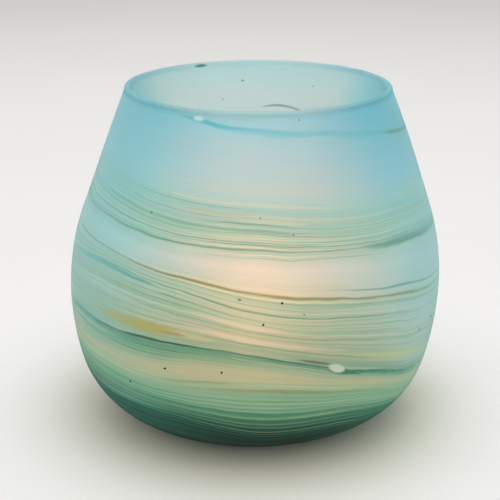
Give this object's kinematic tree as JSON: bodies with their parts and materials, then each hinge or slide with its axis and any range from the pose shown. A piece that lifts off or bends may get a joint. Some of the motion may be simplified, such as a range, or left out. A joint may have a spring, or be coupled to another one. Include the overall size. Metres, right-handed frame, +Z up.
{
  "type": "glass candle vase",
  "caption": "Squat round-bellied art glass vase, frosted, aqua at the rim to dark green at the foot with swirled trails, and a tealight standing inside.",
  "frame": {"origin": "on the table, at the centre of the foot, on the vase's axis", "axes": "+Z up along the vase's axis, -Y towards the front, which shows the opal blister, +X to the right"},
  "size_m": [0.1, 0.1, 0.09],
  "materials": {
    "aqua_glass": "acid-frosted",
    "clouded_glass": "acid-frosted",
    "dark_glass": "acid-frosted",
    "turquoise_glass": "acid-frosted",
    "pale_green_glass": "acid-frosted",
    "green_glass": "acid-frosted",
    "ochre_glass": "acid-frosted",
    "teal_glass": "acid-frosted",
    "sage_glass": "acid-frosted",
    "dark_green_glass": "acid-frosted",
    "olive_glass": "acid-frosted",
    "tan_glass": "acid-frosted",
    "cream_glass": "acid-frosted",
    "opal_glass": "acid-frosted",
    "ash": "matt",
    "cup_metal": "satin, pressed foil",
    "candle_wax": "waxy",
    "tab_metal": "tinned",
    "wick_cord": "waxed cotton, charred at the tip"
  },
  "bodies": {
    "vase": {"aqua_collar": "aqua_glass", "clouded_belly": "clouded_glass", "dark_heel": "dark_glass", "rim_trail": "turquoise_glass", "pale_green_trail": "pale_green_glass", "green_band_trail": "green_glass", "ochre_trail": "ochre_glass", "teal_thread": "teal_glass", "sage_trail": "sage_glass", "dark_green_trail": "dark_green_glass", "olive_patch": "olive_glass", "tan_trail": "tan_glass", "upper_cream_trail": "cream_glass", "lower_cream_trail": "cream_glass", "opal_blister": "opal_glass", "ash_specks": "ash"},
    "tealight": {"candle_cup": "cup_metal", "wax": "candle_wax", "wick_tab": "tab_metal", "wick": "wick_cord"}
  },
  "joints": [
    {"name": "candle_lift", "type": "slide", "parent": "vase", "child": "tealight", "axis": [0, 0, 1], "range_m": [0, 0.1]}
  ]
}
